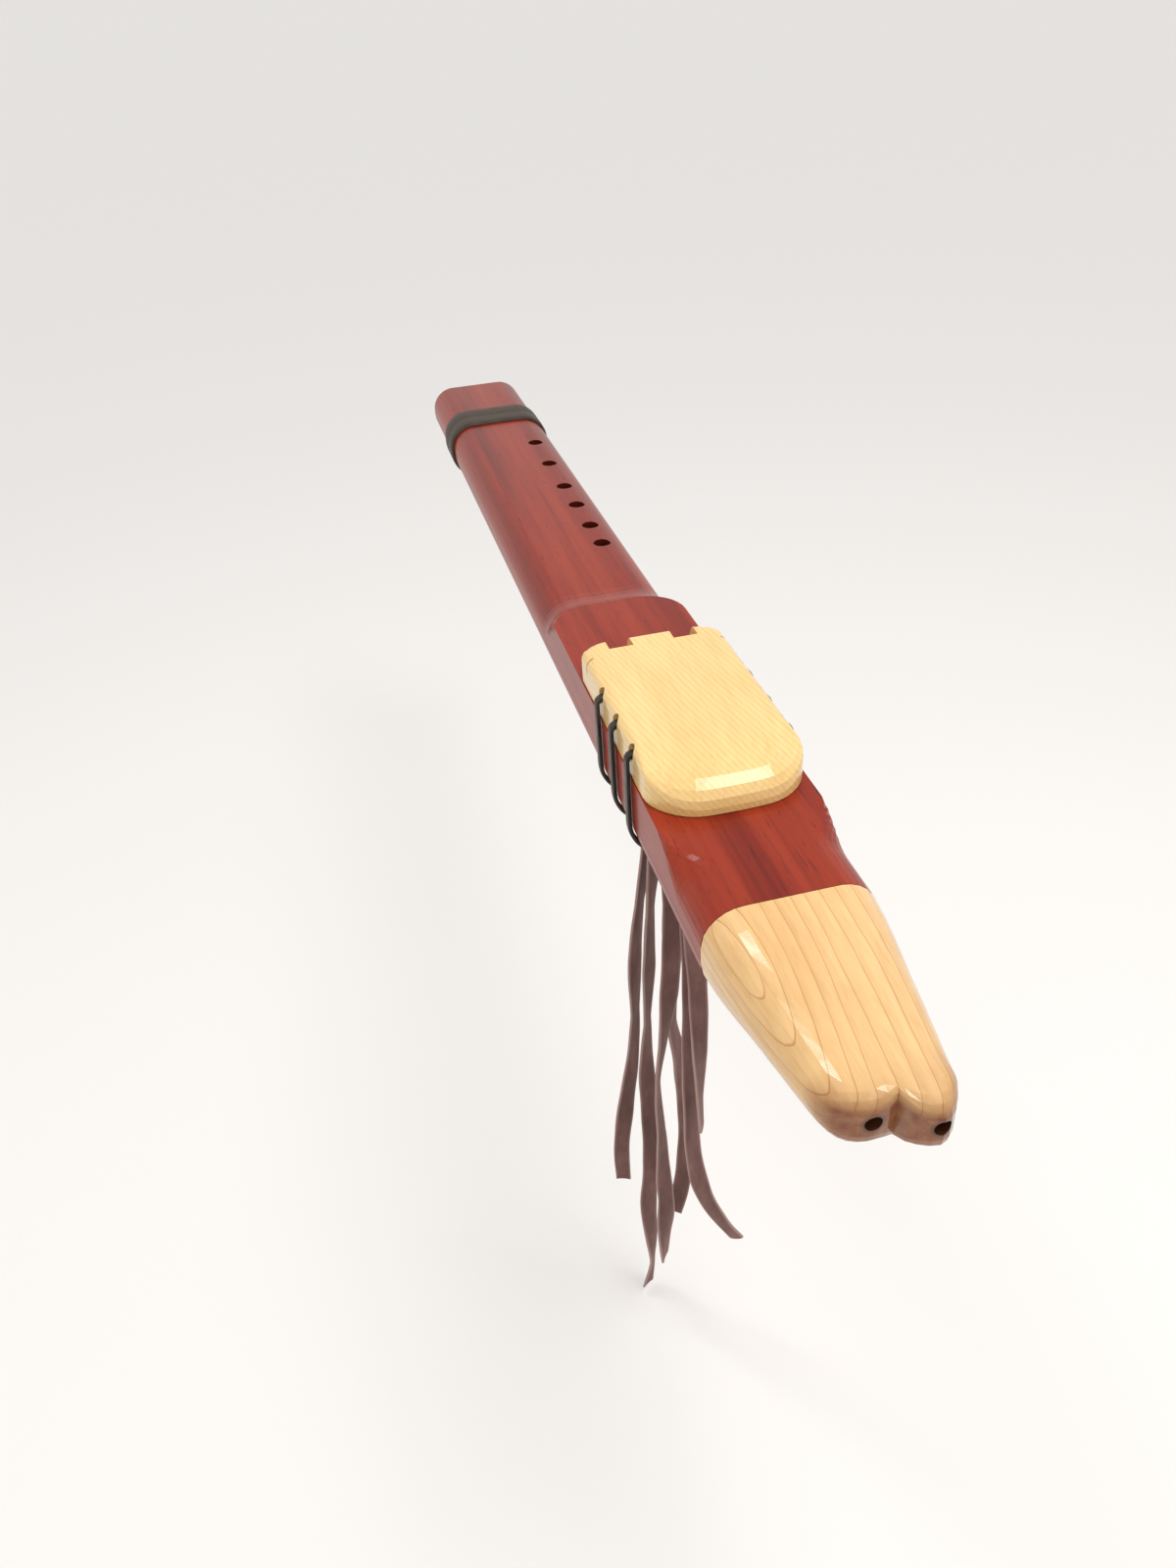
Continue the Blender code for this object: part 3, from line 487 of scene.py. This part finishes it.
def strip_profile(half, thick, cup):
    """Outline of a cut leather strip, slightly cupped, with its two cut edges at the sides."""
    across = np.linspace(-1, 1, STRIP_COLUMNS)
    outline = []
    for face, places in ((-thick, across), (thick, across[::-1])):
        outline += [(half * u, face * (1 - 0.25 * u ** 8) + cup * (u * u - 0.4)) for u in places]
    return outline


def paint_edges(made, count):
    """Vertex colour that is pale on the four points of each ring where the strip was cut."""
    cut_points = (0, STRIP_COLUMNS - 1, STRIP_COLUMNS, 2 * STRIP_COLUMNS - 1)
    edge = made.data.color_attributes.new("edge", "FLOAT_COLOR", "POINT")
    for index in range(count):
        at_edge = index % (2 * STRIP_COLUMNS) in cut_points
        edge.data[index].color = (0.85, 0.85, 0.85, 1) if at_edge else (0, 0, 0, 1)


def make_thong(name, station):
    route = THONG_ROUTES[name]
    points, length = smooth_route([p[:3] for p in route], THONG_ROWS)
    heights = [-p[2] for p in route]
    turns = [p[3] for p in route]
    phase = LACE_STATIONS.index(station) * LACE_PHASE + (SECOND_END_PHASE if name.endswith("b") else 0.0)
    base = np.array([KNOT_X, station, -FACE_GAP - KNOT_DEPTH - FACE_GAP])
    rings = []
    for index, point in enumerate(points):
        along = points[min(index + 1, THONG_ROWS - 1)] - points[max(index - 1, 0)]
        along /= np.linalg.norm(along)
        angle = math.radians(float(np.interp(-point[2], heights, turns)))
        across = np.array([math.cos(angle), math.sin(angle), 0.0])
        across -= along * across.dot(along)
        across /= np.linalg.norm(across)
        outward = np.cross(along, across)
        reach = length * index / (THONG_ROWS - 1)
        share = 1
        for depth, wave in WIDTH_WAVES:
            share += depth * math.sin(reach * wave + phase)
        cup = CUP_DEPTH * math.sin(reach * CUP_WAVE + phase * CUP_PHASE)
        rings.append([point + base + across * u + outward * v
                      for u, v in strip_profile(THONG_WIDTH / 2 * share, THONG_THICKNESS / 2, cup)])
    shape, faces = loft(rings)
    made = add_mesh(f"suede_end_{name}", shape, faces, 50)
    made.data.materials.append(SUEDE)
    paint_edges(made, len(shape))
    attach(made, "block_set")
    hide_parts(f"thong_{name}")


for number, station in enumerate(LACE_STATIONS, start=1):
    for end in "ab":
        make_thong(f"{number}{end}", station)


# Laces: each is a strip folded once lengthwise and pulled tight, with the groove of the fold
# toward the wood and its rounded back outside

def lace_path():
    """Middle line of a lace in X and Z, from the knot up the left side and back down the right."""
    off = LACE_GAP + LACE_THICKNESS / 2
    corner = HALF_WIDTH - BODY_CORNER
    side = HALF_WIDTH + off
    radius = TUNNEL_WIDTH / 2
    lift = radius - math.sqrt(radius ** 2 - (LACE_WIDTH / 2 + LACE_GAP) ** 2)
    level = NEST_HEIGHT + TUNNEL_FLOOR + lift + LACE_THICKNESS / 2
    reach = KNOT_LENGTH / 2 + FACE_GAP
    rise = level - LACE_BEND - BODY_CORNER
    line = [(KNOT_X - reach + step * LACE_END_STEP, -off) for step in range(4, -1, -1)]
    line += arc((-corner, BODY_CORNER), BODY_CORNER + off, 270, 180, 14)
    line += [(-side, BODY_CORNER + rise * step / 6) for step in range(1, 6)]
    line += arc((-side + LACE_BEND, level - LACE_BEND), LACE_BEND, 180, 90, 8)
    line += arc((side - LACE_BEND, level - LACE_BEND), LACE_BEND, 90, 0, 8)
    line += [(side, level - LACE_BEND - rise * step / 6) for step in range(1, 6)]
    line += arc((corner, BODY_CORNER), BODY_CORNER + off, 0, -90, 14)
    line += [(KNOT_X + reach - step * LACE_END_STEP, -off) for step in range(0, 5)]
    return np.array(line)


def lace_profile():
    """Outline of a folded lace: across, and toward the wood where the second number is positive."""
    half = LACE_WIDTH / 2
    thick = LACE_THICKNESS / 2
    return [(-half, 0.0), (-half * 0.93, thick * 0.72), (-half * 0.55, thick), (-half * 0.18, thick * 0.92),
            (0.0, thick * 0.35), (half * 0.18, thick * 0.85), (half * 0.6, thick * 0.95),
            (half * 0.94, thick * 0.6), (half, 0.0), (half * 0.9, -thick * 0.8), (0.0, -thick),
            (-half * 0.9, -thick * 0.8)]


def make_lace(number, station):
    line = lace_path()
    before = np.vstack([line[0] * 2 - line[1], line[:-1]])
    after = np.vstack([line[1:], line[-1] * 2 - line[-2]])
    along = after - before
    along /= np.hypot(*along.T)[:, None]
    inward = np.stack([along[:, 1], -along[:, 0]], axis=1)
    rings = []
    for index, (point, toward_wood) in enumerate(zip(line, inward)):
        drift = LACE_DRIFT * math.sin(index * LACE_DRIFT_WAVE + number)
        ring = []
        for u, v in lace_profile():
            x, z = point + toward_wood * v
            ring.append((x, station + u + drift, z))
        rings.append(ring)
    shape, faces = loft(rings)
    made = add_mesh(f"lace_strip_{number}", shape, faces, 60)
    made.data.materials.append(LACE)
    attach(made, "block_set")
    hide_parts(f"lace_{number}")


def trefoil(angle):
    wide, long, deep = KNOT_LOOP
    return np.array([(math.sin(angle) + 2 * math.sin(2 * angle)) * wide,
                     (math.cos(angle) - 2 * math.cos(2 * angle)) * long,
                     -math.sin(3 * angle) * deep])


def make_knot(number, station):
    """An overhand knot in the flat strip, drawn as a flattened trefoil."""
    middle = np.array([KNOT_X, station, -FACE_GAP - KNOT_DEPTH / 2])
    strand = [2 * math.pi * step / STRAND_STEPS for step in range(STRAND_STEPS)]
    rings = []
    for index in range(KNOT_STEPS):
        t = 2 * math.pi * index / KNOT_STEPS
        along = trefoil(t + TANGENT_STEP) - trefoil(t - TANGENT_STEP)
        along /= np.linalg.norm(along)
        across = np.cross(along, (0, 0, 1.0))
        across /= np.linalg.norm(across)
        outward = np.cross(across, along)
        centre = trefoil(t) + middle
        rings.append([centre + across * STRAND_HALF_WIDTH * math.cos(a)
                      + outward * STRAND_HALF_DEPTH * math.sin(a) for a in strand])
    shape, faces = loft(rings, closed=True)
    made = add_mesh(f"lace_knot_{number}", shape, faces, 60)
    made.data.materials.append(LACE)
    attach(made, "block_set")
    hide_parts(f"knot_{number}")


for number, station in enumerate(LACE_STATIONS, start=1):
    make_lace(number, station)
    make_knot(number, station)


# Foot band: one strap, softly rounded at its edges, with its ends meeting under the body

def make_band():
    half_gap = BAND_JOINT_GAP / 2
    corner = HALF_WIDTH - BODY_CORNER
    high = BARREL_HEIGHT - BODY_CORNER
    corners = ((-corner, BODY_CORNER, 270), (-corner, high, 180), (corner, high, 90),
               (corner, BODY_CORNER, 0))
    profile = [(-1.0, 0.0), (-0.985, 0.55), (-0.93, 0.92), (-0.6, 1.0), (-0.12, 0.97), (-0.02, 0.80),
               (0.02, 0.80), (0.12, 0.97), (0.6, 1.0), (0.93, 0.92), (0.985, 0.55), (1.0, 0.0)]
    rings = []
    for u, rise in profile:
        radius = BODY_CORNER + FACE_GAP + BAND_THICKNESS * rise
        ring = [(-half_gap, BODY_CORNER - radius)]
        for x, z, start in corners:
            ring += arc((x, z), radius, start, start - 90, BAND_CORNER_STEPS)
        ring += [(half_gap, BODY_CORNER - radius)]
        rings.append([(x, BAND_STATION + u * BAND_WIDTH / 2, z) for x, z in ring])
    rows = len(rings)
    count = len(rings[0])
    points = [p for ring in rings for p in ring]
    faces = []
    for row in range(rows):
        after_row = (row + 1) % rows
        for index in range(count - 1):
            faces.append([row * count + index, after_row * count + index,
                          after_row * count + index + 1, row * count + index + 1])
    faces.append([row * count for row in range(rows)])
    faces.append([row * count + count - 1 for row in range(rows - 1, -1, -1)])
    made = add_mesh("foot_strap", points, faces, 50)
    made.data.materials.append(BAND)
    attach(made, "flute_body")
    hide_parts("foot_band")


make_band()


def make_glue_line():
    """The glue that closes the seam between the two halves of the body, one strip on each side."""
    half = FACE_GAP / 2 - GLUE_CLEARANCE
    outer = HALF_WIDTH - GLUE_INSET
    points = []
    faces = []
    for side in (-1, 1):
        base = len(points)
        for y in GLUE_ENDS:
            for x, z in ((GLUE_INNER_X, -half), (outer, -half), (outer, half), (GLUE_INNER_X, half)):
                points.append((side * x, y, SEAM_HEIGHT + z))
        faces += [[base + i for i in face] for face in
                  ((0, 1, 2, 3), (7, 6, 5, 4), (0, 4, 5, 1), (1, 5, 6, 2), (2, 6, 7, 3), (3, 7, 4, 0))]
    made = add_mesh("glue_line", points, faces, 30)
    made.data.materials.append(RED)
    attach(made, "flute_body")


make_glue_line()


# Floor, lamps and background

def make_floor():
    corners = [(x * FLOOR_HALF_SIZE, y * FLOOR_HALF_SIZE, FLOOR_LEVEL)
               for x, y in ((-1, -1), (1, -1), (1, 1), (-1, 1))]
    made = add_mesh("floor", corners, [[0, 1, 2, 3]])
    finish, _, shader = new_material("floor_plain")
    shader.inputs["Base Color"].default_value = (0.90, 0.885, 0.865, 1)
    shader.inputs["Roughness"].default_value = 0.9
    made.data.materials.append(finish)


def make_lamp(name, place, target, size, power, colour):
    data = bpy.data.lights.new(name, "AREA")
    data.shape = "RECTANGLE"
    data.size, data.size_y = size
    data.energy = power
    data.color = colour
    lamp = bpy.data.objects.new(name, data)
    bpy.context.scene.collection.objects.link(lamp)
    lamp.location = place
    aim = np.array(target, dtype=float) - np.array(place, dtype=float)
    lamp.rotation_euler = Vector(aim).to_track_quat("-Z", "Y").to_euler()


def make_world():
    """Even light from all sides, and a plain pale background for the camera and for reflections."""
    world = bpy.data.worlds.new("studio")
    bpy.context.scene.world = world
    world.use_nodes = True
    tree = world.node_tree
    tree.nodes.clear()
    out = tree.nodes.new("ShaderNodeOutputWorld")
    soft = node(tree, "ShaderNodeBackground", Strength=0.86)
    soft.inputs["Color"].default_value = (1.0, 0.99, 0.98, 1)
    white = node(tree, "ShaderNodeBackground", Strength=1.0)
    white.inputs["Color"].default_value = (0.86, 0.85, 0.83, 1)
    rays = tree.nodes.new("ShaderNodeLightPath").outputs
    plain = calculate(tree, "MAXIMUM", rays["Is Camera Ray"], rays["Is Transmission Ray"])
    plain = calculate(tree, "MAXIMUM", plain, rays["Is Glossy Ray"])
    blend = tree.nodes.new("ShaderNodeMixShader")
    tree.links.new(plain, blend.inputs[0])
    tree.links.new(soft.outputs[0], blend.inputs[1])
    tree.links.new(white.outputs[0], blend.inputs[2])
    tree.links.new(blend.outputs[0], out.inputs["Surface"])


make_floor()
make_world()
make_lamp("overhead", (0.25, -0.26, 0.95), (0, -0.09, 0.03), (0.34, 0.46), 4.2, (1.0, 0.98, 0.95))
make_lamp("window", (-0.32, 0.33, 0.88), (0, -0.10, 0.02), (0.10, 0.36), 1.2, (0.98, 0.98, 1.0))
make_lamp("key", (0.55, 0.10, 0.75), (0, 0, 0.02), (0.60, 0.40), 0.4, (1.0, 0.97, 0.93))
make_lamp("front", (0.10, -1.10, 0.70), (0, -0.05, 0.02), (0.60, 0.40), 0.3, (1.0, 0.98, 0.95))

bpy.context.scene.view_settings.view_transform = "Standard"
